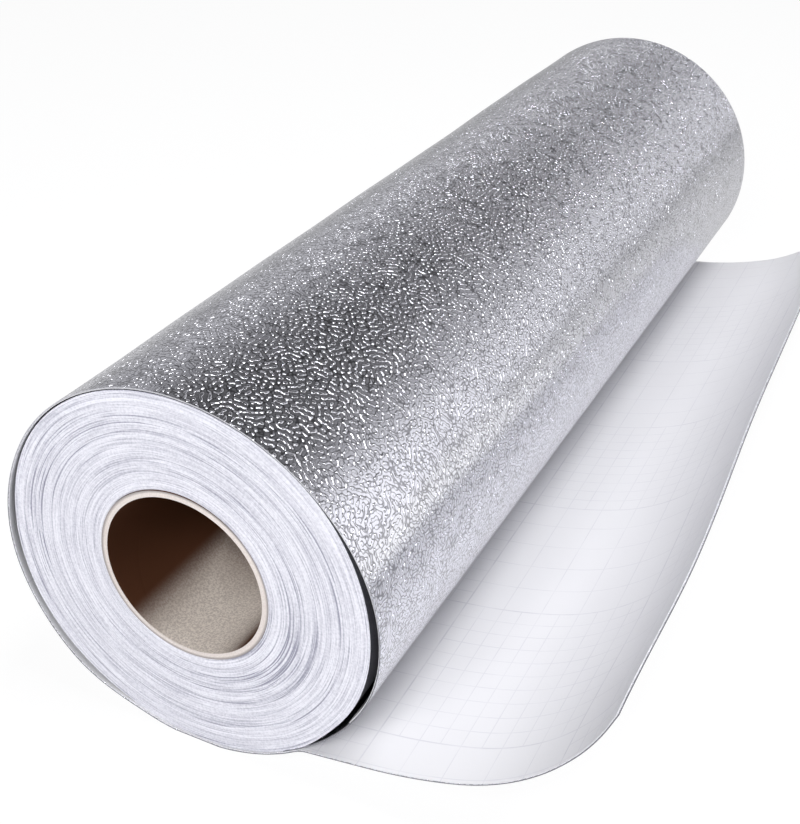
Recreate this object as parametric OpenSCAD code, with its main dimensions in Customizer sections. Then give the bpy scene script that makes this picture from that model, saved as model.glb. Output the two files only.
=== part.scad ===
// Roll of embossed self-adhesive aluminium foil on its white release paper.
// The web is wound on a cardboard core. Its last lap has slipped loose, and the
// end runs out from under the roll and curls up, with the paper side inwards.
// The roll lies along Y on a small flat spot. The origin is the centre of the
// core's bore at half the roll's width, and the unrolled end points to +X.

/* [Core] */
// Inside diameter of the core, for a three inch mandrel
core_bore_d = 76.2; // [50:0.1:153]
// Wall of the core
core_wall = 3; // [2:0.5:8]
// Distance from each end of the roll in to the end of the core
core_recess = 2.5; // [0.5:0.5:5]
// Chamfer on the cut edges of the core
core_chamfer = 0.4; // [0.2:0.1:0.8]
// Clearance between the core and the first laps
core_clearance = 0.1; // [0.05:0.05:0.3]

/* [Roll] */
// Width of the web, which is the length of the roll
web_width = 600; // [300:10:1000]
// Turns drawn in the winding, each standing for several laps of the thin web
turns = 16; // [8:1:30]
// Distance from one drawn turn out to the next
turn_pitch = 2.8; // [1.6:0.1:4]
// Gap between one drawn turn and the next
turn_gap = 0.2; // [0.1:0.05:0.4]
// Depth of the first laps, which are wound tight on the core
first_laps = 1; // [0.5:0.1:2]
// Height by which the roll's weight flattens it where it lies
flat_depth = 0.8; // [0.2:0.1:1.2]

/* [Sheet] */
// Thickness of the foil with its adhesive, drawn heavier than it is
foil_t = 0.45; // [0.3:0.05:0.8]
// Thickness of the release paper, drawn heavier than it is
liner_t = 0.3; // [0.2:0.05:0.5]

/* [Loose lap] */
// Gap under the loose lap at the side of the unrolled end
slack_front = 4.6; // [2:0.1:6]
// Gap under the loose lap at the top of the roll
slack_top = 1.6; // [0.5:0.1:4]
// Gap under the loose lap at the back of the roll
slack_back = 3.4; // [1:0.1:6]
// Gap under the lap where the roll rests on it
slack_rest = 0.1; // [0.05:0.05:0.3]

/* [Unrolled end] */
// Angle past the roll's lowest point at which the sheet leaves the roll
leave_deg = 34; // [25:1:40]
// Radius of the bend by which the sheet turns away from the roll
bend_r = 15; // [8:1:25]
// Slope of the run that follows the bend, in degrees
run_slope = 8.5; // [4:0.5:14]
// Length of that run
run_len = 31; // [10:1:80]
// Radius of the slow rise that follows the run
rise_r = 200; // [120:5:300]
// Slope at the end of the slow rise, in degrees
rise_slope = 20; // [16:1:30]
// Radius of the curl at the end of the sheet
curl_r = 100; // [60:5:160]
// Slope at the end of the curl, in degrees
curl_slope = 60; // [40:1:80]
// Length of the straight lip at the free edge
lip_len = 7; // [2:1:20]

/* [Hidden] */
$fn = 60;
// Angle between points along the loose lap
lap_step = 4;
// Angle between points along the bends of the unrolled end
bend_step = 5;
curl_step = 2.5;
// Angle at which the loose lap stands widest open, at the front and at the back
front_at = -7;
back_at = 210;
// Angle at which the loose lap lies against the roll again
rest_at = 250;
bottom_at = 270;
// Angle over which the drawn turn thins down to the single sheet
taper_deg = 24;
// The loose lap starts inside the end of the last drawn turn, this far under its
// outside and over this angle
root_inset = 0.2;
root_deg = 3;

core_r = core_bore_d / 2;
core_outer_r = core_r + core_wall;
core_len = web_width - 2 * core_recess;
seat_r = core_outer_r + core_clearance;
sheet_t = foil_t + liner_t;

// The winding is a spiral of half circles. The upper halves are centred on the
// core and the lower halves half a pitch further forward, so that each lower half
// carries one turn out to the next.
spiral_r = seat_r + first_laps / 2;
half_pitch = turn_pitch / 2;
turn_t = turn_pitch - turn_gap;
wound_r = spiral_r + turns * turn_pitch - turn_gap;
lowest_r = wound_r + half_pitch;
beyond = 3 * wound_r;

start_at = leave_deg - 90;
leave_at = bottom_at + leave_deg;
lap_root = start_at - root_deg;

// Radius of the winding's outside in the direction a, under the loose lap
function lower_r(a, r) = half_pitch * cos(a) + sqrt(r * r - pow(half_pitch * sin(a), 2));
function winding_r(a) =
    a < 0 ? lower_r(a, wound_r - half_pitch)
    : a > 180 ? lower_r(a, lowest_r)
    : wound_r;

// Gap under the loose lap in the direction a
slack_root = winding_r(leave_at) - root_inset - sheet_t - winding_r(start_at);
function glide(a, a0, a1, v0, v1) = v0 + (v1 - v0) * (1 - cos(180 * (a - a0) / (a1 - a0))) / 2;
function slack(a) =
    a < start_at ? slack_root
    : a < front_at ? glide(a, start_at, front_at, slack_root, slack_front)
    : a < 90 ? glide(a, front_at, 90, slack_front, slack_top)
    : a < back_at ? glide(a, 90, back_at, slack_top, slack_back)
    : a < rest_at ? glide(a, back_at, rest_at, slack_back, slack_rest)
    : slack_rest;
function lap_r(a) = winding_r(a) + slack(a);

// Flat spot: distance from the bore's axis down to the flattened winding, and down
// to the inside of the lap beneath it
flat_winding = lowest_r - flat_depth;
flat_lap = flat_winding + slack_rest;
flat_half = sqrt(pow(lowest_r + slack_rest, 2) - pow(flat_lap, 2));

// Angles of the points along the loose lap, with one straight edge at the flat spot
front_end = bottom_at - atan((flat_half - half_pitch) / flat_lap);
back_end = bottom_at + atan((flat_half + half_pitch) / flat_lap);
lap_steps = ceil((front_end - lap_root) / lap_step);
heel_steps = ceil((leave_at - back_end) / lap_step);
lap_angles = concat(
    [for (i = [0 : lap_steps]) lap_root + i * (front_end - lap_root) / lap_steps],
    [for (i = [0 : heel_steps]) back_end + i * (leave_at - back_end) / heel_steps]);

// Unrolled end: corners and centres along the inside face of the sheet
function along(a) = [cos(a), sin(a)];
function below(a) = [sin(a), -cos(a)];
leave_p = lap_r(leave_at) * along(leave_at);
bend_c = leave_p + bend_r * below(leave_deg);
run_p = bend_c - bend_r * below(run_slope);
rise_c = run_p + run_len * along(run_slope) - rise_r * below(run_slope);
curl_c = rise_c + (rise_r - curl_r) * below(rise_slope);
lip_p = curl_c + curl_r * below(curl_slope) + lip_len * along(curl_slope);

function steps(from, to, step) =
    let (n = max(1, ceil(abs(to - from) / step)))
    [for (i = [0 : n]) from + i * (to - from) / n];

// A line that runs along the whole sheet, at a depth below its inside face
function lap_point(a, depth) =
    let (r = lap_r(a) + depth)
    a > front_end - 0.01 && a < back_end + 0.01 ? [r * cos(a), -(flat_lap + depth)] : r * along(a);
function lap_line(depth, from) = [for (a = lap_angles) if (a >= from) lap_point(a, depth)];
function end_line(depth) = concat(
    [for (a = steps(leave_deg, run_slope, bend_step)) bend_c - (bend_r - depth) * below(a)],
    [for (a = steps(run_slope, rise_slope, curl_step)) rise_c + (rise_r + depth) * below(a)],
    [for (a = steps(rise_slope, curl_slope, bend_step)) curl_c + (curl_r + depth) * below(a)],
    [lip_p + depth * below(curl_slope)]);

// Inside face of the foil: it starts near the depth of a drawn turn and thins to
// one sheet
root_face = sheet_t - 0.7 * turn_t;
function foil_face(a) = a > start_at + taper_deg
    ? liner_t
    : glide(max(a, start_at), start_at, start_at + taper_deg, root_face, liner_t);

function back_to_front(points) = [for (i = [len(points) - 1 : -1 : 0]) points[i]];

// The bend, the rise and the curl start where the line before them ends, so each
// shared point is drawn once
function without_first(points) = [for (i = [1 : len(points) - 1]) points[i]];

module foil_sheet() {
    inside = concat(
        [for (a = lap_angles) lap_point(a, foil_face(a))],
        without_first(end_line(liner_t)));
    outside = concat(lap_line(sheet_t, lap_root), without_first(end_line(sheet_t)));
    polygon(concat(inside, back_to_front(outside)));
}

module liner_sheet() {
    from = start_at + taper_deg;
    inside = concat(lap_line(0, from), without_first(end_line(0)));
    outside = concat(lap_line(liner_t, from), without_first(end_line(liner_t)));
    polygon(concat(inside, back_to_front(outside)));
}

module ring(inner, outer) {
    difference() {
        circle(r = outer);
        circle(r = inner);
    }
}

module upper_turns() {
    intersection() {
        for (i = [0 : turns - 1])
            ring(spiral_r + i * turn_pitch, spiral_r + i * turn_pitch + turn_t);
        translate([-beyond, 0])
            square([2 * beyond, beyond]);
    }
}

module lower_turns() {
    intersection() {
        translate([half_pitch, 0])
            for (i = [0 : turns - 2])
                ring(spiral_r + (i + 0.5) * turn_pitch, spiral_r + (i + 0.5) * turn_pitch + turn_t);
        translate([-beyond, -beyond])
            square([2 * beyond, beyond]);
    }
}

module last_turn() {
    intersection() {
        translate([half_pitch, 0])
            ring(lowest_r - turn_t, lowest_r);
        polygon([[0, 0], [-beyond, 0], [-beyond, -beyond], beyond * along(leave_at)]);
    }
}

module winding() {
    difference() {
        union() {
            ring(seat_r, seat_r + first_laps);
            upper_turns();
            lower_turns();
            last_turn();
        }
        translate([-beyond, -flat_winding - beyond])
            square([2 * beyond, beyond]);
    }
}

module across_web() {
    rotate([90, 0, 0])
        linear_extrude(height = web_width, center = true)
            children();
}

module core_tube() {
    color("tan")
        rotate([90, 0, 0])
            rotate_extrude()
                polygon([
                    [core_r, core_chamfer - core_len / 2],
                    [core_r + core_chamfer, -core_len / 2],
                    [core_outer_r - core_chamfer, -core_len / 2],
                    [core_outer_r, core_chamfer - core_len / 2],
                    [core_outer_r, core_len / 2 - core_chamfer],
                    [core_outer_r - core_chamfer, core_len / 2],
                    [core_r + core_chamfer, core_len / 2],
                    [core_r, core_len / 2 - core_chamfer]
                ]);
}

module foil_web() {
    color("silver") {
        across_web()
            winding();
        across_web()
            foil_sheet();
    }
}

module release_liner() {
    color("whitesmoke")
        across_web()
            liner_sheet();
}

core_tube();
foil_web();
release_liner();
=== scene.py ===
import math

import bmesh
import bpy
import numpy as np
from bpy.props import FloatProperty, FloatVectorProperty, IntProperty, PointerProperty
from mathutils import Matrix, Vector


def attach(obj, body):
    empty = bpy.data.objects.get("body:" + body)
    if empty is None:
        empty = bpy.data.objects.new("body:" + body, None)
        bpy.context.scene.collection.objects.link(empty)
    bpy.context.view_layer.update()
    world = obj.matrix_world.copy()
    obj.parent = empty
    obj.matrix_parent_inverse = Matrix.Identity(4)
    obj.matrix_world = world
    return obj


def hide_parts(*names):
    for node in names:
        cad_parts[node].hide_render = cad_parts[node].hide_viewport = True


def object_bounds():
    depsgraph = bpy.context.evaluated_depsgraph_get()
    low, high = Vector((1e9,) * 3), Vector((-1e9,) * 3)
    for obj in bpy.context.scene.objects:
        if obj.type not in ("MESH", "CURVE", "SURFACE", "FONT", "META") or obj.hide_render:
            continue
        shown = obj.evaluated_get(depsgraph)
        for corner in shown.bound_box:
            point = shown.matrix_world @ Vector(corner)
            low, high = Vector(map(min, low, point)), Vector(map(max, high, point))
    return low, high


bl_info = {
    "name": "Foil Roll",
    "version": (1, 0, 0),
    "blender": (4, 5, 0),
    "location": "View3D > Sidebar > Foil Roll",
    "description": "Builds a roll of embossed self-adhesive foil with its end unrolled",
    "category": "Add Mesh",
}

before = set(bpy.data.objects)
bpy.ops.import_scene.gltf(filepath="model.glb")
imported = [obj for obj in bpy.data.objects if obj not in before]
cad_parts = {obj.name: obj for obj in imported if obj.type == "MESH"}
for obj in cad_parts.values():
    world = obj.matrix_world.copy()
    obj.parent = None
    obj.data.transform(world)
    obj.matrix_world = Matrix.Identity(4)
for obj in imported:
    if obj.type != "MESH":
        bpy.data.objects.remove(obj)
CAD_BOX = [list(corner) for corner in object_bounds()]

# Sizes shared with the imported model, in millimetres and degrees
SEAT_R = 41.2
TURN_PITCH = 2.8
HALF_PITCH = TURN_PITCH / 2
WOUND_R = 86.3
LOWEST_R = WOUND_R + HALF_PITCH
FLAT_DEPTH = 0.8
FLAT_WINDING = LOWEST_R - FLAT_DEPTH
SLACK_REST = 0.1
FLAT_LAP = FLAT_WINDING + SLACK_REST
ROOT_INSET = 0.2
BEND_R = 15.0
BOTTOM_AT = 270.0
CORE_R = 38.1
CORE_WALL = 3.0
CORE_RECESS = 2.5
HALF_WIDTH = 300.0
MM = 0.001

# Sizes of the unrolled end as fitted to the photo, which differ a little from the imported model
RISE_R = 221.0
CURL_R = 97.3
# Where the loose lap starts, and how much further round its release paper starts
ROOT_AT = -58.0
PAPER_LAG = 27.0
# Past the root, the winding steps down over this angle, from this far under its last turn
STEP_ANGLE = 24.0
STEP_DEPTH = 0.6

# The unrolled end changes a little from the near edge of the web to the far edge
NEAR = {"leave": 35.6, "run": 8.6, "run_len": 28.8, "rise": 18.8, "curl": 68.8, "lip": 7.3}
FAR = {"leave": 26.5, "run": 7.6, "run_len": 30.7, "rise": 20.0, "curl": 46.4, "lip": 6.4}
# Gap under the loose lap at angles round the roll, at the near edge and at the far edge
NEAR_GAPS = [(-7, 5.6), (90, 0.7), (150, 0.8), (200, 3.4), (226, 3.7), (254, 0.1)]
FAR_GAPS = [(-18, 6.2), (90, 4.0), (150, 4.2), (200, 5.0), (226, 5.4), (256, 0.1)]
# Waves of the free edge: share of the width and height of the wave in millimetres
LIP_WAVES = [(0.0, -0.9), (0.2, 1.6), (0.5, -1.1), (0.85, 0.6), (1.0, 0.3)]
# Where the winding stands out under the loose lap: angle and spread in degrees, height in millimetres
RIM_BULGES = [(-15, 38, 1.9), (38, 25, 2.0), (212, 28, 1.6)]
# Points round the winding, points along the loose lap and points along the unrolled end
WINDING_STEPS = 224
LAP_STEPS = 190
END_STEPS = 96
# The unrolled end is first laid out in steps that are finer by this number
FINER = 8
# Half the width of a printed line of the grid and of a line round a block, in metres
GRID_LINE = 0.00022
GRID_BORDER = 0.00034

# Camera fitted to the photo: focal length in pixels, angles in degrees and place in metres
CAMERA = {"focal": 1246.05, "azimuth": 25.878, "elevation": 30.407, "roll": 0.916,
          "place": (0.256896, -0.624887, 0.319175)}
PHOTO_LONG_SIDE = 824
SENSOR_WIDTH = 36
# Place, aim and power of each square lamp
LAMPS = {"key": ((0.12, -1.85, 1.15), (0, -0.2, 0), 34),
         "fill": ((0.66, 0.10, 1.75), (0.1, 0.05, 0), 23)}
LAMP_SIDE = 1.0
FLOOR_SIDE = 12


class FoilRollSizes(bpy.types.PropertyGroup):
    foil_t: FloatProperty(name="Foil thickness", description="Thickness of the foil with its adhesive",
                          default=0.00045, unit="LENGTH")
    paper_t: FloatProperty(name="Paper thickness", description="Thickness of the release paper",
                           default=0.0003, unit="LENGTH")
    lap_pitch: FloatProperty(name="Lap pitch", description="Thickness of one lap of the wound web",
                             default=0.00038, unit="LENGTH")
    telescope: FloatProperty(name="Telescoping",
                             description="How far the innermost laps lie back from the outermost",
                             default=0.0018, unit="LENGTH")
    lap_scatter: FloatProperty(name="Lap scatter", description="How far single laps stand out of the cut end",
                               default=0.00012, unit="LENGTH")
    emboss_pitch: FloatProperty(name="Emboss pitch", description="Distance between the embossed ridges",
                                default=0.0028, unit="LENGTH")
    grid_cell: FloatProperty(name="Grid cell", description="Side of one cell of the printed measuring grid",
                             default=0.0097, unit="LENGTH")
    across_steps: IntProperty(name="Steps across", description="Rows of faces across the width of the sheet",
                              default=72, min=8)


class FoilRollColours(bpy.types.PropertyGroup):
    foil: FloatVectorProperty(name="Foil", description="Colour of the bare foil", subtype="COLOR",
                              default=(0.90, 0.90, 0.955), min=0, max=1)
    paper: FloatVectorProperty(name="Paper", description="Colour of the release paper", subtype="COLOR",
                               default=(0.75, 0.75, 0.775), min=0, max=1)
    print_ink: FloatVectorProperty(name="Grid print", description="Colour of the printed grid",
                                   subtype="COLOR", default=(0.55, 0.55, 0.60), min=0, max=1)
    lap_edge: FloatVectorProperty(name="Lap edges", description="Colour of the cut edges of the web",
                                  subtype="COLOR", default=(0.86, 0.86, 0.93), min=0, max=1)
    lap_shadow: FloatVectorProperty(name="Lap gaps", description="Colour of the gaps between laps",
                                    subtype="COLOR", default=(0.30, 0.30, 0.38), min=0, max=1)
    board: FloatVectorProperty(name="Board", description="Colour of the core board", subtype="COLOR",
                               default=(0.92, 0.81, 0.73), min=0, max=1)
    floor: FloatVectorProperty(name="Floor", description="Colour of the studio floor", subtype="COLOR",
                               default=(0.58, 0.58, 0.585), min=0, max=1)


# Materials


def new_material(name):
    material = bpy.data.materials.new(name)
    material.use_nodes = True
    material.node_tree.nodes.clear()
    return material


class Nodes:
    """Short calls that add and link the nodes of one material."""

    def __init__(self, tree):
        self.tree = tree

    def add(self, kind, inputs=None, **settings):
        node = self.tree.nodes.new(kind)
        for key, value in settings.items():
            setattr(node, key, value)
        for key, value in (inputs or {}).items():
            self.put(node, key, value)
        return node

    def put(self, node, key, value):
        socket = node.inputs[key]
        if isinstance(value, bpy.types.NodeSocket):
            self.tree.links.new(value, socket)
        else:
            socket.default_value = value

    def math(self, operation, *values, clamp=False):
        node = self.add("ShaderNodeMath", operation=operation, use_clamp=clamp)
        for i, value in enumerate(values):
            self.put(node, i, value)
        return node.outputs[0]

    def ramp(self, value, low, high, to_low=0.0, to_high=1.0, kind="SMOOTHSTEP"):
        node = self.add("ShaderNodeMapRange", {"Value": value, "From Min": low, "From Max": high,
                                               "To Min": to_low, "To Max": to_high},
                        interpolation_type=kind)
        return node.outputs[0]

    def mix(self, share, first, second):
        node = self.add("ShaderNodeMix", data_type="RGBA")
        self.put(node, 0, share)
        self.put(node, 6, first)
        self.put(node, 7, second)
        return node.outputs[2]

    def noise(self, vector, scale, detail=2.0, roughness=0.5):
        node = self.add("ShaderNodeTexNoise", {"Vector": vector, "Scale": scale, "Detail": detail,
                                               "Roughness": roughness})
        return node.outputs[0]

    def product(self, first, second):
        return self.math("MULTIPLY", first, second)

    def bump(self, strength, distance, height):
        return self.add("ShaderNodeBump", {"Strength": strength, "Distance": distance,
                                           "Height": height}).outputs[0]

    def sheet_uv(self):
        """The sheet's own flat coordinates in metres."""
        return self.add("ShaderNodeUVMap", uv_map="sheet").outputs[0]

    def place(self):
        """The object's coordinates in metres, whole and apart."""
        whole = self.add("ShaderNodeTexCoord").outputs["Object"]
        return whole, self.add("ShaderNodeSeparateXYZ", {"Vector": whole}).outputs[:3]

    def from_axis(self, x, z):
        """Distance from the roll's axis."""
        return self.math("SQRT", self.math("ADD", self.product(x, x), self.product(z, z)))

    def output(self, shader):
        self.add("ShaderNodeOutputMaterial", {"Surface": shader})

    def surface(self, inputs):
        self.output(self.add("ShaderNodeBsdfPrincipled", inputs).outputs[0])


def rgba(colour, factor=1.0):
    return (*[channel * factor for channel in colour], 1.0)


def embossed_foil(sizes, colours):
    """Bright foil with short curved ridges pressed into it, on the sheet's own UV in metres."""
    material = new_material("embossed_foil")
    n = Nodes(material.node_tree)
    uv = n.sheet_uv()
    frequency = 1.0 / sizes.emboss_pitch
    worms = n.add("ShaderNodeTexGabor", {"Vector": uv, "Scale": frequency / 2.6, "Frequency": 2.6,
                                         "Anisotropy": 0.0}, gabor_type="2D").outputs[0]
    ridges = n.ramp(worms, 0.52, 0.66)
    grain = n.noise(uv, 900.0, 2.0)
    waves = n.noise(uv, 26.0, 1.0)
    height = n.math("ADD", ridges, n.product(grain, 0.15))
    height = n.math("ADD", height, n.product(waves, 0.8))
    bump = n.bump(1.0, 0.00040, height)
    # Painted shade: the foot of each ridge is darkened in a narrow band
    crease_shade = n.product(n.ramp(worms, 0.44, 0.50), n.ramp(worms, 0.52, 0.58, 1.0, 0.0))
    tone = n.mix(n.product(crease_shade, 0.85), rgba(colours.foil), rgba(colours.foil, 0.32))
    rough = n.ramp(grain, 0.3, 0.7, 0.11, 0.19, "LINEAR")
    n.surface({"Base Color": tone, "Metallic": 1.0, "Roughness": rough, "Normal": bump})
    return material


def foil_cut_edge(name, bright):
    """Cut edge of the foil: dark grey as painted shade, lightened by a share towards the top of the roll as a
    painted highlight.
    """
    material = new_material(name)
    n = Nodes(material.node_tree)
    place, (x, _, z) = n.place()
    grain = n.noise(place, 1400.0, 2.0)
    shaded_edge_grey = n.mix(grain, (0.10, 0.10, 0.12, 1), (0.24, 0.24, 0.27, 1))
    lit_edge_grey = n.mix(grain, (0.55, 0.55, 0.60, 1), (0.85, 0.85, 0.90, 1))
    # Painted highlight: lighter towards the top of the roll, fading out past the roll's side over the
    # unrolled end
    top = n.product(n.ramp(z, -0.01, 0.05, 0.0, bright), n.ramp(x, 0.090, 0.098, 1.0, 0.0))
    tone = n.mix(top, shaded_edge_grey, lit_edge_grey)
    n.surface({"Base Color": tone, "Metallic": 0.6, "Roughness": 0.5})
    return material


def release_paper(sizes, colours):
    """Smooth white release paper with a faint printed grid of ten-cell blocks."""
    material = new_material("release_paper")
    n = Nodes(material.node_tree)
    uv = n.sheet_uv()
    u, v = n.add("ShaderNodeSeparateXYZ", {"Vector": uv}).outputs[:2]
    cell = sizes.grid_cell
    block = cell * 10
    # Where the blocks start on the web, moved up so that no value is negative
    across = n.math("ADD", u, 0.2785 + block * 6)
    along = n.math("ADD", v, block * 7 - 0.031)

    def line(value, pitch, half):
        return n.ramp(n.math("PINGPONG", value, pitch / 2), half * 0.5, half * 1.5, 1.0, 0.0, "LINEAR")

    def grid(pitch, half):
        return n.math("MAXIMUM", line(across, pitch, half), line(along, pitch, half))

    checker = n.math("MODULO", n.math("ADD", n.math("FLOOR", n.math("DIVIDE", across, block)),
                                      n.math("FLOOR", n.math("DIVIDE", along, block))), 2.0)
    fine = n.product(grid(cell, GRID_LINE), checker)
    coarse = grid(cell * 2, GRID_LINE)
    border = grid(block, GRID_BORDER)
    ink = n.math("MAXIMUM", n.product(n.math("MAXIMUM", fine, coarse), 0.55), n.product(border, 0.75))
    patchy = n.ramp(n.noise(uv, 60.0, 3.0), 0.35, 0.65, 0.45, 1.0)
    ink = n.product(ink, patchy)
    cloud = n.noise(uv, 18.0, 3.0)
    paper = n.mix(cloud, rgba(colours.paper, 0.97), rgba(colours.paper))
    tone = n.mix(ink, paper, rgba(colours.print_ink))
    fibre = n.noise(uv, 700.0, 3.0, 0.6)
    swell = n.noise(uv, 22.0, 2.0)
    height = n.math("ADD", n.product(fibre, 0.10), swell)
    bump = n.bump(0.5, 0.0006, height)
    rough = n.ramp(fibre, 0.3, 0.7, 0.38, 0.5, "LINEAR")
    n.surface({"Base Color": tone, "Roughness": rough, "Specular IOR Level": 0.4, "Normal": bump})
    return material


def lap_edges(colours):
    """Cut edges of the wound web: pale laps with gaps darkened by painted shade, finer than the modelled
    relief, and painted shade where laps lie further back.
    """
    material = new_material("lap_edges")
    n = Nodes(material.node_tree)
    place, (x, _, z) = n.place()
    radius = n.from_axis(x, z)

    def along_laps(across, along):
        """Noise with one scale out from the core and another along the laps, per metre."""
        stretched = n.add("ShaderNodeCombineXYZ", {0: n.product(radius, across), 1: n.product(x, along),
                                                   2: n.product(z, along)}).outputs[0]
        return n.noise(stretched, 1.0, 2.0)

    fine = along_laps(2500.0, 60.0)
    lines = along_laps(1900.0, 24.0)
    wide = along_laps(300.0, 12.0)
    grain = n.noise(place, 1000.0, 2.0)
    depth = n.add("ShaderNodeAttribute", attribute_name="lap_tone").outputs["Fac"]
    rings = n.product(n.ramp(lines, 0.48, 0.56), n.ramp(depth, 0.05, 0.35, 0.20, 1.0))
    shade = n.math("ADD", n.product(depth, 0.8), rings)
    shade = n.math("ADD", shade, n.ramp(fine, 0.35, 0.65, -0.12, 0.24, "LINEAR"))
    shade = n.math("ADD", shade, n.ramp(grain, 0.35, 0.65, -0.10, 0.16, "LINEAR"))
    shade = n.math("ADD", shade, n.ramp(wide, 0.3, 0.7, -0.06, 0.06, "LINEAR"), clamp=True)
    tone = n.mix(shade, rgba(colours.lap_edge), rgba(colours.lap_shadow))
    bump = n.bump(0.6, 0.0002, fine)
    n.surface({"Base Color": tone, "Roughness": 0.62, "Specular IOR Level": 0.3, "Normal": bump})
    return material


def kraft_board(colours):
    """Grey-brown core board with fibre flecks and the faint spiral of its plies."""
    material = new_material("kraft_board")
    n = Nodes(material.node_tree)
    place, (x, y, z) = n.place()
    turn = n.math("DIVIDE", n.math("ARCTAN2", z, x), 2 * math.pi)
    helix = n.math("ADD", n.math("DIVIDE", y, 0.11), turn)
    seam = n.ramp(n.math("PINGPONG", helix, 0.5), 0.0, 0.012, 1.0, 0.0)
    fleck = n.noise(place, 1100.0, 4.0, 0.7)
    cloud = n.noise(place, 60.0, 3.0)
    light = rgba([min(0.95, c * 1.08) for c in colours.board])
    dark = rgba(colours.board, 0.66)
    tone = n.mix(n.ramp(fleck, 0.40, 0.60), dark, light)
    tone = n.mix(n.product(cloud, 0.35), tone, rgba(colours.board))
    tone = n.mix(n.product(seam, 0.10), tone, dark)
    # Painted shade: the board is darker and browner away from the ends and at the top of the bore
    inside = n.ramp(n.math("ABSOLUTE", y), 0.274, 0.205)
    top_of_bore_shade = n.ramp(z, -0.0385, -0.025)
    tone = n.mix(n.math("MAXIMUM", inside, top_of_bore_shade), tone,
                 rgba([c * k for c, k in zip(colours.board, (0.10, 0.045, 0.025))]))
    height = n.math("SUBTRACT", n.product(fleck, 0.4), n.product(seam, 0.2))
    bump = n.bump(0.6, 0.0003, height)
    n.surface({"Base Color": tone, "Roughness": 0.9, "Specular IOR Level": 0.05, "Normal": bump})
    return material


def board_rim(colours):
    """Cut end of the core board, paler than its face, with the lines of its plies."""
    material = new_material("board_rim")
    n = Nodes(material.node_tree)
    place, (x, _, z) = n.place()
    radius = n.from_axis(x, z)
    ply = n.ramp(n.math("PINGPONG", radius, 0.0003), 0.0, 0.0001, 1.0, 0.0)
    fleck = n.noise(place, 1600.0, 3.0, 0.7)
    pale = (0.80, 0.74, 0.71, 1)
    tone = n.mix(n.ramp(fleck, 0.3, 0.75, 0.0, 0.6), pale, (0.58, 0.50, 0.46, 1))
    tone = n.mix(n.product(ply, 0.3), tone, rgba(colours.board, 0.8))
    # Painted shade: the rim darkens towards its outer edge, as the shade between the core and the laps
    tone = n.mix(n.ramp(radius, 0.0396, 0.0409, 0.0, 0.75), tone, (0.22, 0.20, 0.20, 1))
    bump = n.bump(0.5, 0.0002, fleck)
    n.surface({"Base Color": tone, "Roughness": 0.85, "Specular IOR Level": 0.2, "Normal": bump})
    return material


# Shape of the web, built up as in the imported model


def hump(x, middle, spread):
    return np.exp(-((x - middle) / spread) ** 2)


def lower_r(angle, radius):
    return HALF_PITCH * np.cos(angle) + np.sqrt(radius ** 2 - (HALF_PITCH * np.sin(angle)) ** 2)


def winding_r(degrees):
    """Outside of the winding in a direction, under the loose lap."""
    a = np.radians(degrees)
    return np.where(degrees < 0, lower_r(a, WOUND_R - HALF_PITCH),
                    np.where(degrees > 180, lower_r(a, LOWEST_R), WOUND_R))


def glide(x, x0, x1, v0, v1):
    """A smooth step from one value to another."""
    return v0 + (v1 - v0) * (1 - np.cos(np.pi * np.clip((x - x0) / (x1 - x0), 0, 1))) / 2


def profile_at(share):
    return {key: NEAR[key] + (FAR[key] - NEAR[key]) * share for key in NEAR}


def slack(degrees, share, form, sheet_t):
    """Gap under the loose lap in a direction."""
    start = form["leave"] - 90
    leave = BOTTOM_AT + form["leave"]
    root = float(winding_r(np.array(leave))) - ROOT_INSET - sheet_t - float(winding_r(np.array(start)))
    stops = [(start, root)] + [(n[0] + (f[0] - n[0]) * share, n[1] + (f[1] - n[1]) * share)
                               for n, f in zip(NEAR_GAPS, FAR_GAPS)]
    out = np.full(degrees.shape, SLACK_REST)
    out[degrees < start] = root
    for (a0, v0), (a1, v1) in zip(stops[:-1], stops[1:]):
        span = (degrees >= a0) & (degrees < a1)
        out[span] = glide(degrees[span], a0, a1, v0, v1)
    return out


def sheet_line(share, sheet_t):
    """Inside face of the sheet at a share of its width, in millimetres: points, outward directions,
    length from the point where it leaves the roll, and angle round the roll."""
    form = profile_at(share)
    leave = BOTTOM_AT + form["leave"]
    degrees = np.linspace(ROOT_AT, leave, LAP_STEPS + 1)
    radius = winding_r(degrees) + slack(degrees, share, form, sheet_t)
    a = np.radians(degrees)
    lap = np.stack([radius * np.cos(a), radius * np.sin(a)], 1)
    under = (degrees > 250) & (degrees < 290)
    lap[under, 1] = np.maximum(lap[under, 1], -FLAT_LAP)

    bend = BEND_R * math.radians(form["leave"] - form["run"])
    rise = RISE_R * math.radians(form["rise"] - form["run"])
    curl = CURL_R * math.radians(form["curl"] - form["rise"])
    marks = np.cumsum([0, bend, form["run_len"], rise, curl, form["lip"]])
    slopes = [form["leave"], form["run"], form["run"], form["rise"], form["curl"], form["curl"]]
    fine = np.linspace(0, marks[-1], END_STEPS * FINER + 1)
    slope = np.radians(np.interp((fine[:-1] + fine[1:]) / 2, marks, slopes))
    step = fine[1] - fine[0]
    path = np.vstack([[0, 0], np.cumsum(np.stack([np.cos(slope), np.sin(slope)], 1) * step, 0)]) + lap[-1]
    end = path[::FINER][1:]
    points = np.vstack([lap, end])
    ahead = np.gradient(points, axis=0)
    ahead /= np.linalg.norm(ahead, axis=1, keepdims=True)
    outward = np.stack([ahead[:, 1], -ahead[:, 0]], 1)
    chords = np.concatenate([[0], np.cumsum(np.linalg.norm(np.diff(points, axis=0), axis=1))])
    length = chords - chords[len(lap) - 1]
    return points, outward, length, np.concatenate([degrees, np.full(END_STEPS, leave + 1)])


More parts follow.
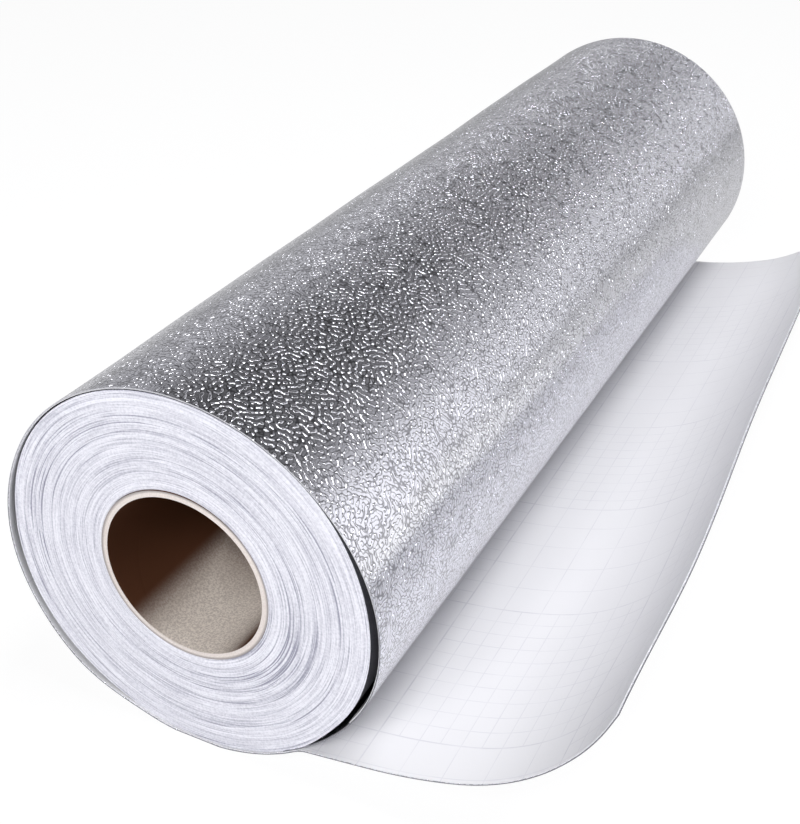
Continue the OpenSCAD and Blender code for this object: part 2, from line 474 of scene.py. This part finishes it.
def handling_waves(across, length, degrees):
    """Slight unevenness of the free sheet, in millimetres along its outward direction."""
    free = np.clip((degrees + 30) / 60, 0, 1) * np.clip((245 - degrees) / 50, 0, 1)
    wave = (0.16 * np.sin(0.021 * across + 0.035 * length + 0.6)
            + 0.12 * np.sin(-0.034 * across + 0.050 * length + 2.1)
            + 0.07 * np.sin(0.071 * across + 0.022 * length + 4.0))
    share = (across + HALF_WIDTH) / (2 * HALF_WIDTH)
    lip = 0.0
    for (s0, v0), (s1, v1) in zip(LIP_WAVES[:-1], LIP_WAVES[1:]):
        if s0 <= share <= s1 + 1e-9:
            lip = float(glide(share, s0, s1, v0, v1))
    end = np.clip((length - 20) / 110, 0, 1) ** 1.5
    curl = (lip + 0.15 * np.sin(0.027 * across + 0.03 * length + 2.4)) * end
    return wave * free + curl


def quads(grid):
    """Faces between the rows and columns of a grid of point numbers."""
    return np.stack([grid[:-1, :-1], grid[:-1, 1:], grid[1:, 1:], grid[1:, :-1]], -1).reshape(-1, 4)


def rim(first, second):
    """Faces between two lines of point numbers."""
    return np.stack([first[:-1], second[:-1], second[1:], first[1:]], -1)


def new_piece(name, verts, broad, narrow, materials):
    """A mesh object of points in metres. The narrow faces take the last of the materials."""
    faces = np.concatenate(broad + narrow)
    slots = np.zeros(len(faces), int)
    slots[sum(len(f) for f in broad):] = len(materials) - 1
    mesh = bpy.data.meshes.new(name)
    mesh.from_pydata(verts.tolist(), [], faces.tolist())
    for material in materials:
        mesh.materials.append(material)
    mesh.polygons.foreach_set("material_index", slots)
    mesh.update()
    piece = bpy.data.objects.new(name, mesh)
    bpy.context.scene.collection.objects.link(piece)
    return piece


def thin_sheet(name, depth_in, depth_out, from_degrees, sizes, materials, edge_in=0.0):
    """A closed thin sheet between two depths below the inside face of the web, with UVs in metres."""
    sheet_t = (sizes.foil_t + sizes.paper_t) / MM
    rows = sizes.across_steps + 1
    half = HALF_WIDTH - edge_in
    inner, outer, flat_uv = [], [], []
    for share in np.linspace(0, 1, rows):
        points, outward, length, degrees = sheet_line(share, sheet_t)
        keep = degrees >= from_degrees
        if edge_in:
            keep[-1] = False
        points, outward, length, degrees = points[keep], outward[keep], length[keep], degrees[keep]
        across = -half + 2 * half * share
        shift = handling_waves(across, length, degrees)[:, None] * outward
        y = np.full(len(points), across)
        for line, depth in ((inner, depth_in), (outer, depth_out)):
            face = points + shift + outward * depth
            line.append(np.stack([face[:, 0], y, face[:, 1]], 1))
        flat_uv.append(np.stack([y, length], 1))
    inner, outer, flat_uv = np.array(inner), np.array(outer), np.array(flat_uv)
    columns = inner.shape[1]
    verts = np.concatenate([inner.reshape(-1, 3), outer.reshape(-1, 3)]) * MM
    uv_of = np.concatenate([flat_uv.reshape(-1, 2)] * 2) * MM
    index = np.arange(rows * columns).reshape(rows, columns)
    top = index + rows * columns
    broad = [quads(index), quads(top)[:, ::-1]]
    edges = [rim(index[0], top[0]), rim(index[-1][::-1], top[-1][::-1]),
             rim(index[::-1, 0], top[::-1, 0]), rim(index[:, -1], top[:, -1])]
    piece = new_piece(name, verts, broad, edges, materials)
    layer = piece.data.uv_layers.new(name="sheet")
    corners = np.zeros(len(piece.data.loops), int)
    piece.data.loops.foreach_get("vertex_index", corners)
    layer.data.foreach_set("uv", uv_of[corners].astype(np.float32).ravel())
    return piece


def smooth(piece, degrees):
    bpy.ops.object.select_all(action="DESELECT")
    bpy.context.view_layer.objects.active = piece
    piece.select_set(True)
    bpy.ops.object.shade_smooth_by_angle(angle=math.radians(degrees))
    piece.select_set(False)


def outward_faces(piece):
    bm = bmesh.new()
    bm.from_mesh(piece.data)
    bmesh.ops.recalc_face_normals(bm, faces=bm.faces)
    bm.to_mesh(piece.data)
    bm.free()


def settings(context):
    return context.scene.foil_roll_sizes, context.scene.foil_roll_colours


# Pieces


class FOILROLL_OT_core(bpy.types.Operator):
    """Adds the cardboard core with its cut plies"""
    bl_idname = "foil_roll.core"
    bl_label = "Core"

    def execute(self, context):
        _, colours = settings(context)
        bpy.ops.object.select_all(action="DESELECT")
        length = 2 * (HALF_WIDTH - CORE_RECESS) * MM
        outer = (CORE_R + CORE_WALL) * MM
        bpy.ops.mesh.primitive_cylinder_add(vertices=160, radius=outer, depth=length,
                                            end_fill_type="NOTHING", location=(0, 0, 0),
                                            rotation=(math.pi / 2, 0, 0))
        core = context.active_object
        core.name = "core"
        core.data.name = "core"
        bpy.ops.object.transform_apply(location=True, rotation=True, scale=True)
        wall = core.modifiers.new("wall", "SOLIDIFY")
        wall.thickness = CORE_WALL * MM
        wall.offset = -1.0
        wall.use_even_offset = True
        bpy.ops.object.modifier_apply(modifier="wall")
        core.data.materials.append(kraft_board(colours))
        core.data.materials.append(board_rim(colours))

        bpy.ops.object.mode_set(mode="EDIT")
        bm = bmesh.from_edit_mesh(core.data)
        for face in bm.faces:
            face.select_set(abs(face.normal.y) > 0.5)
        bmesh.update_edit_mesh(core.data)
        core.active_material_index = 1
        bpy.ops.object.material_slot_assign()
        # The cut end steps in a little towards the middle of the wall
        for thickness in (0.0006, 0.0006, 0.0003):
            bpy.ops.mesh.inset(thickness=thickness, depth=-0.00012)
        bpy.ops.object.mode_set(mode="OBJECT")
        edge = core.modifiers.new("edge", "BEVEL")
        edge.width = 0.00025
        edge.segments = 2
        edge.limit_method = "ANGLE"
        edge.angle_limit = math.radians(60)
        bpy.ops.object.modifier_apply(modifier="edge")
        smooth(core, 35)
        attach(core, "root")
        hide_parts("core_tube")
        return {"FINISHED"}


def lap_noise(seed, count, steps_per_turn):
    """Smooth random values along the web, one turn being so many steps."""
    rng = np.random.default_rng(seed)
    knots = rng.normal(size=int(count * steps_per_turn) + 4)
    return lambda turns: np.interp(turns * steps_per_turn, np.arange(len(knots)), knots)


def winding_rim(degrees):
    """Outside of the winding in a direction, with the step at its end and its bulges."""
    radius = winding_r(degrees)
    step = degrees < ROOT_AT + STEP_ANGLE
    low = float(winding_r(np.array(ROOT_AT + 359.9))) - STEP_DEPTH
    high = float(winding_r(np.array(ROOT_AT + STEP_ANGLE)))
    radius[step] = glide(degrees[step], ROOT_AT, ROOT_AT + STEP_ANGLE, low, high)
    for at, spread, lift in RIM_BULGES:
        radius += lift * hump(degrees, at, spread)
    return radius


def cut_laps(side, seed, laps, degrees, sizes):
    """Points of the laps' cut edges at one end, and how dark each point is."""
    a = np.radians(degrees)
    depth_share = np.linspace(0, 1, laps + 1)[:, None]
    rings = SEAT_R + depth_share * (winding_rim(degrees)[None, :] - SEAT_R)
    turns = np.round(np.arange(laps + 1)[:, None] - degrees[None, :] / 360 + 1) + degrees[None, :] / 360
    slow = lap_noise(seed, laps + 4, 1.3)
    quick = lap_noise(seed + 1, laps + 4, 3.1)
    swell = lap_noise(seed + 2, 40, 1.0)
    scatter = 0.75 * slow(turns) + 0.5 * quick(turns)
    bundle = swell((rings - SEAT_R) / 2.4 + 0.8 * np.sin(a + seed)[None, :])
    recess = sizes.telescope / MM * (1 - depth_share) ** 1.2
    # The laps stand out more unevenly in one worn patch and in one loose patch, and the worn patch is
    # darkened with painted shade
    from_worn = np.minimum(abs(degrees + 35), 360 - abs(degrees + 35))
    worn_and_shaded = hump(rings, 56, 9) * hump(from_worn, 0, 45)[None, :]
    loose = hump(rings, 78, 7) * hump(degrees, 165, 40)[None, :]
    lively = 0.6 + 1.3 * worn_and_shaded + 0.9 * loose
    lean = 0.65 * (1 - np.cos(a))[None, :]
    y = recess + 0.25 + lean + sizes.lap_scatter / MM * lively * scatter + 0.12 * bundle
    y = np.maximum(y, 0.02)
    y[0, :] = np.maximum(y[0, :], 0.05)
    # Painted shade: laps that lie further back are darker, and the worn patch darker still
    tones = np.clip(0.08 + 0.15 * lively * scatter + 0.04 * bundle + 0.10 * worn_and_shaded, 0, 1)
    points = np.stack([rings * np.cos(a), side * (HALF_WIDTH - y), rings * np.sin(a)], -1)
    points[..., 2] = np.maximum(points[..., 2], -FLAT_WINDING)
    return points, tones


def closed(rows):
    """Rows of point numbers with the first point repeated at the end."""
    return np.concatenate([rows, rows[..., :1]], -1)


class FOILROLL_OT_winding(bpy.types.Operator):
    """Adds the wound laps, with the relief of their cut edges at both ends"""
    bl_idname = "foil_roll.winding"
    bl_label = "Winding"

    def execute(self, context):
        sizes, colours = settings(context)
        degrees = ROOT_AT + np.arange(WINDING_STEPS) * 360 / WINDING_STEPS
        laps = int((WOUND_R - SEAT_R) / (sizes.lap_pitch / MM))
        ends = [cut_laps(side, seed, laps, degrees, sizes) for side, seed in ((-1, 11), (1, 23))]
        verts = np.concatenate([points.reshape(-1, 3) for points, _ in ends]) * MM
        tones = np.concatenate([tone.ravel() for _, tone in ends])
        count = (laps + 1) * WINDING_STEPS
        index = np.arange(count).reshape(laps + 1, WINDING_STEPS)
        near, far = closed(index), closed(index + count)
        sides = [np.stack([near[-1][:-1], near[-1][1:], far[-1][1:], far[-1][:-1]], -1),
                 np.stack([near[0][1:], near[0][:-1], far[0][:-1], far[0][1:]], -1)]
        # The sides of the winding take the cut edge's painted shade, without its painted highlight
        winding = new_piece("winding", verts, [quads(near), quads(far)[:, ::-1]], sides,
                            [lap_edges(colours), foil_cut_edge("lap_side", 0.0)])
        tone = winding.data.attributes.new("lap_tone", "FLOAT", "POINT")
        tone.data.foreach_set("value", tones.astype(np.float32))
        outward_faces(winding)
        smooth(winding, 50)
        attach(winding, "root")
        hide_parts("foil_web")
        return {"FINISHED"}


class FOILROLL_OT_foil(bpy.types.Operator):
    """Adds the foil of the loose lap and the unrolled end"""
    bl_idname = "foil_roll.foil"
    bl_label = "Foil"

    def execute(self, context):
        sizes, colours = settings(context)
        paper_t, sheet_t = sizes.paper_t / MM, (sizes.paper_t + sizes.foil_t) / MM
        foil = thin_sheet("foil_sheet", paper_t, sheet_t, ROOT_AT, sizes,
                          [embossed_foil(sizes, colours), foil_cut_edge("foil_cut_edge", 0.8)])
        outward_faces(foil)
        smooth(foil, 40)
        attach(foil, "root")
        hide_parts("foil_web")
        return {"FINISHED"}


class FOILROLL_OT_paper(bpy.types.Operator):
    """Adds the release paper on the inside of the loose lap and the unrolled end"""
    bl_idname = "foil_roll.paper"
    bl_label = "Release paper"

    def execute(self, context):
        sizes, colours = settings(context)
        paper = thin_sheet("release_paper", 0.0, sizes.paper_t / MM, ROOT_AT + PAPER_LAG, sizes,
                           [release_paper(sizes, colours)], edge_in=0.25)
        outward_faces(paper)
        smooth(paper, 40)
        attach(paper, "root")
        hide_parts("release_liner")
        return {"FINISHED"}


# Studio


def studio_world():
    """White to the camera. To all else it is light or dark by direction, for the bands in the foil."""
    world = bpy.data.worlds.new("studio")
    world.use_nodes = True
    world.node_tree.nodes.clear()
    n = Nodes(world.node_tree)
    way = n.add("ShaderNodeTexCoord").outputs["Generated"]
    aside, ahead, height = n.add("ShaderNodeSeparateXYZ", {"Vector": way}).outputs[:3]
    level = n.ramp(height, 0.25, 0.45, 0.53, 0.28, "LINEAR")
    level = n.math("SUBTRACT", level, n.ramp(height, 0.45, 0.62, 0.0, 0.20, "LINEAR"))
    level = n.math("ADD", level, n.ramp(height, 0.84, 0.97, 0.0, 0.8))
    level = n.product(level, n.ramp(aside, -0.05, 0.35, 1.0, 1.30))
    # A wide soft panel at the right behind the roll
    panel = n.ramp(n.math("DIVIDE", aside, n.math("MAXIMUM", ahead, 0.05)), 0.55, 1.00, 0.0, 0.40)
    panel = n.product(panel, n.ramp(ahead, 0.05, 0.35))
    panel = n.product(panel, n.ramp(height, 0.60, 0.74, 1.0, 0.0))
    level = n.math("ADD", level, panel)
    level = n.product(level, n.ramp(aside, -0.92, -0.55, 0.60, 1.0))
    level = n.product(level, n.ramp(ahead, -0.40, 0.20, 0.30, 1.0))
    blue = n.product(level, 1.04)
    colour = n.add("ShaderNodeCombineColor", {0: level, 1: level, 2: blue}).outputs[0]
    path = n.add("ShaderNodeLightPath")
    room = n.add("ShaderNodeBackground", {"Color": colour, "Strength": 1.0})
    white = n.add("ShaderNodeBackground", {"Color": (1, 1, 1, 1), "Strength": 1.0})
    both = n.add("ShaderNodeMixShader", {0: path.outputs["Is Camera Ray"], 1: room.outputs[0],
                                         2: white.outputs[0]})
    n.add("ShaderNodeOutputWorld", {"Surface": both.outputs[0]})
    return world


def floor_paper(colours):
    """Seamless studio paper that keeps the shadow and shows white."""
    material = new_material("studio_floor")
    n = Nodes(material.node_tree)
    place, (x, y, _) = n.place()
    grain = n.noise(place, 300.0, 2.0)
    tone = n.mix(grain, rgba(colours.floor, 0.99), rgba(colours.floor))
    matt = n.add("ShaderNodeBsdfPrincipled", {"Base Color": tone, "Roughness": 0.9,
                                              "Specular IOR Level": 0.1})
    white = n.add("ShaderNodeEmission", {"Color": (1, 1, 1, 1), "Strength": 1.12})
    path = n.add("ShaderNodeLightPath")
    # Painted light: reflected in the foil, the floor glows brighter towards the panel at the right
    side = n.math("SUBTRACT", x, n.product(y, 0.8))
    share = n.math("ADD", n.product(path.outputs["Is Camera Ray"], 0.80),
                   n.product(path.outputs["Is Glossy Ray"], n.ramp(side, -0.05, 0.40, 0.18, 0.82)))
    n.output(n.add("ShaderNodeMixShader", {0: share, 1: matt.outputs[0], 2: white.outputs[0]}).outputs[0])
    return material


def soft_lamp(name, place, aim, power):
    data = bpy.data.lights.new(name, "AREA")
    data.shape = "RECTANGLE"
    data.size, data.size_y = LAMP_SIDE, LAMP_SIDE
    data.energy = power
    lamp = bpy.data.objects.new(name, data)
    bpy.context.scene.collection.objects.link(lamp)
    lamp.location = place
    lamp.rotation_euler = (Vector(aim) - Vector(place)).to_track_quat("-Z", "Y").to_euler()


def fitted_camera():
    """The camera from which the photo was taken, as far as its outlines show."""
    azimuth, elevation, roll = [math.radians(CAMERA[key]) for key in ("azimuth", "elevation", "roll")]
    back = Vector((math.sin(azimuth) * math.cos(elevation),
                   -math.cos(azimuth) * math.cos(elevation),
                   math.sin(elevation)))
    level = (-back).cross(Vector((0, 0, 1))).normalized()
    upright = level.cross(-back)
    right = math.cos(roll) * level + math.sin(roll) * upright
    up = math.cos(roll) * upright - math.sin(roll) * level
    data = bpy.data.cameras.new("camera")
    data.lens = CAMERA["focal"] * SENSOR_WIDTH / PHOTO_LONG_SIDE
    data.sensor_width = SENSOR_WIDTH
    data.clip_start = 0.02
    camera = bpy.data.objects.new("camera", data)
    bpy.context.scene.collection.objects.link(camera)
    turn = Matrix((right, up, back)).transposed().to_4x4()
    camera.matrix_world = Matrix.Translation(CAMERA["place"]) @ turn
    return camera


class FOILROLL_OT_stage(bpy.types.Operator):
    """Adds the studio floor, the soft light and the camera"""
    bl_idname = "foil_roll.stage"
    bl_label = "Studio"

    def execute(self, context):
        _, colours = settings(context)
        bpy.ops.object.select_all(action="DESELECT")
        bpy.ops.mesh.primitive_plane_add(size=FLOOR_SIDE, location=(0, 0, 0))
        floor = context.active_object
        floor.name = "studio_floor"
        floor.data.transform(Matrix.Translation((0, 0, CAD_BOX[0][2])))
        floor.data.materials.append(floor_paper(colours))
        context.scene.world = studio_world()
        for name, (place, aim, power) in LAMPS.items():
            soft_lamp(name, place, aim, power)
        context.scene.camera = fitted_camera()
        context.scene.view_settings.view_transform = "Standard"
        return {"FINISHED"}


class FOILROLL_PT_panel(bpy.types.Panel):
    bl_idname = "FOILROLL_PT_panel"
    bl_label = "Foil Roll"
    bl_space_type = "VIEW_3D"
    bl_region_type = "UI"
    bl_category = "Foil Roll"

    def draw(self, context):
        layout = self.layout
        for kind in OPERATORS:
            layout.operator(kind.bl_idname)
        for group in (context.scene.foil_roll_sizes, context.scene.foil_roll_colours):
            box = layout.box()
            for key in group.__annotations__:
                box.prop(group, key)


OPERATORS = (FOILROLL_OT_stage, FOILROLL_OT_core, FOILROLL_OT_winding, FOILROLL_OT_foil, FOILROLL_OT_paper)
CLASSES = (FoilRollSizes, FoilRollColours, *OPERATORS, FOILROLL_PT_panel)


def register():
    for kind in CLASSES:
        bpy.utils.register_class(kind)
    bpy.types.Scene.foil_roll_sizes = PointerProperty(type=FoilRollSizes)
    bpy.types.Scene.foil_roll_colours = PointerProperty(type=FoilRollColours)


def unregister():
    del bpy.types.Scene.foil_roll_colours
    del bpy.types.Scene.foil_roll_sizes
    for kind in reversed(CLASSES):
        bpy.utils.unregister_class(kind)


def main():
    register()
    bpy.ops.foil_roll.stage()
    bpy.ops.foil_roll.core()
    bpy.ops.foil_roll.winding()
    bpy.ops.foil_roll.foil()
    bpy.ops.foil_roll.paper()


if __name__ == "__main__":
    main()
